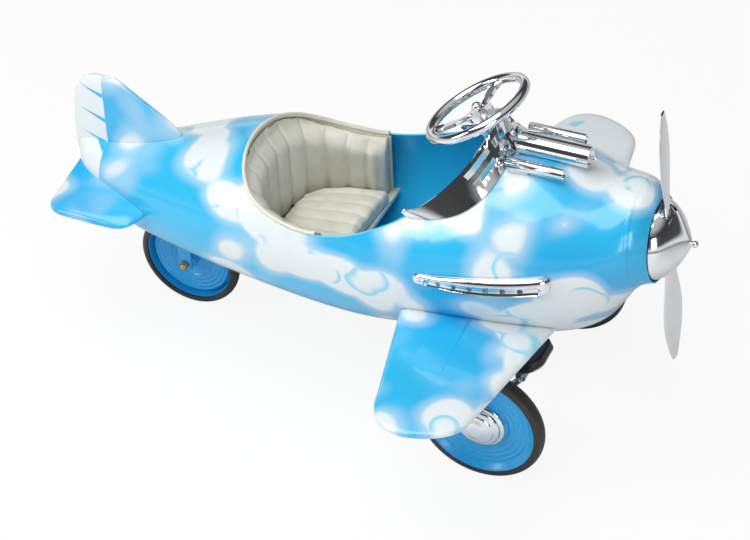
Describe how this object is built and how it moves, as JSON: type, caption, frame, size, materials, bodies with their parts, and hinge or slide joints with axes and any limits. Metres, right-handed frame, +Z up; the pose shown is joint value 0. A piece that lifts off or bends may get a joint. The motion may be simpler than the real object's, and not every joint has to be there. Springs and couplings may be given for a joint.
{
  "type": "pedal plane",
  "caption": "Child's sheet-metal pedal plane with low wings, an open padded cockpit, a steering wheel, pedals on a cranked axle, a steered tail wheel and a turning propeller.",
  "frame": {"origin": "middle of the bounding box in plan, on the ground below the wheels", "axes": "+X forward to the propeller, +Y to the left (port) side, +Z up"},
  "size_m": [1.1706, 0.91, 0.6794],
  "materials": {
    "sky_paint": "gloss",
    "disc_paint": "gloss",
    "chrome": "polished",
    "steel": "satin",
    "tyre": "matte",
    "rubber": "matte",
    "leather": "satin",
    "bronze": "satin"
  },
  "bodies": {
    "plane": {"body_shell": "sky_paint", "tail_fin": "sky_paint", "left_wing": "sky_paint", "right_wing": "sky_paint", "left_tailplane": "sky_paint", "right_tailplane": "sky_paint", "left_side_vent": "chrome", "right_side_vent": "chrome", "vent_screws": "chrome", "windscreen_arch": "chrome", "arch_screws": "chrome", "centre_gun": "chrome", "left_gun": "chrome", "right_gun": "chrome", "prop_bush": "bronze", "nose_bulkhead": "sky_paint", "left_gear_leg": "disc_paint", "right_gear_leg": "disc_paint", "axle_bushes": "bronze", "leg_bolts": "steel", "column_bush": "chrome", "column_bracket": "sky_paint", "kingpin_bush": "bronze", "tail_carrier": "sky_paint", "seat_pan": "leather", "seat_back_panel": "leather", "back_cushion": "leather", "seat_cushion": "leather", "rim_piping": "leather"},
    "propeller": {"propeller": "chrome", "spinner": "chrome", "prop_shaft": "steel", "prop_nut": "steel", "prop_collar": "steel"},
    "crank": {"crank_axle": "steel", "right_wheel_disc": "disc_paint", "right_tyre": "tyre", "right_hub_cap": "chrome"},
    "left_wheel": {"left_wheel_disc": "disc_paint", "left_tyre": "tyre", "left_hub_cap": "chrome"},
    "left_pedal": {"left_pedal_bracket": "steel", "left_pedal_pad": "rubber"},
    "right_pedal": {"right_pedal_bracket": "steel", "right_pedal_pad": "rubber"},
    "steering": {"steering_wheel": "chrome", "wheel_nut": "chrome", "steering_shaft": "steel", "pitman_arm": "steel"},
    "fork": {"rear_fork": "disc_paint", "tail_axle": "steel", "tail_axle_nuts": "bronze", "fork_nut": "steel"},
    "tail_wheel": {"tail_wheel_disc": "disc_paint", "tail_tyre": "tyre"},
    "rod": {"drag_rod": "steel"}
  },
  "joints": [
    {"name": "propeller_spin", "type": "hinge", "parent": "plane", "child": "propeller", "pos_m": [0.536, 0, 0.43389], "axis": [0.9931, 0, 0.1171], "continuous": true},
    {"name": "crank_turn", "type": "hinge", "parent": "plane", "child": "crank", "pos_m": [0.2955, 0, 0.115], "axis": [0, 1, 0], "continuous": true},
    {"name": "left_wheel_spin", "type": "hinge", "parent": "crank", "child": "left_wheel", "pos_m": [0.2955, 0.205, 0.115], "axis": [0, 1, 0], "continuous": true},
    {"name": "left_pedal_turn", "type": "hinge", "parent": "crank", "child": "left_pedal", "pos_m": [0.25523, 0.0885, 0.06397], "axis": [0, 1, 0], "continuous": true},
    {"name": "right_pedal_turn", "type": "hinge", "parent": "crank", "child": "right_pedal", "pos_m": [0.33576, -0.0885, 0.16603], "axis": [0, 1, 0], "continuous": true},
    {"name": "steering_turn", "type": "hinge", "parent": "plane", "child": "steering", "pos_m": [0.19784, 0, 0.60028], "axis": [-0.5259, 0, 0.8506], "range_deg": [-20, 20]},
    {"name": "fork_swivel", "type": "hinge", "parent": "plane", "child": "fork", "pos_m": [-0.37263, 0, 0.24194], "axis": [-0.0301, 0, 0.9995], "range_deg": [-20, 20]},
    {"name": "rod_pivot", "type": "hinge", "parent": "fork", "child": "rod", "pos_m": [-0.37205, 0.045, 0.22274], "axis": [-0.0301, 0, 0.9995], "range_deg": [-20, 20]},
    {"name": "tail_wheel_spin", "type": "hinge", "parent": "fork", "child": "tail_wheel", "pos_m": [-0.36832, 0, 0.099], "axis": [0, 1, 0], "continuous": true}
  ],
  "couplings": [
    {"joint": "left_pedal_turn", "follows": "crank_turn", "ratio": -1},
    {"joint": "right_pedal_turn", "follows": "crank_turn", "ratio": -1},
    {"joint": "fork_swivel", "follows": "steering_turn", "ratio": -1},
    {"joint": "rod_pivot", "follows": "steering_turn", "ratio": 1}
  ]
}
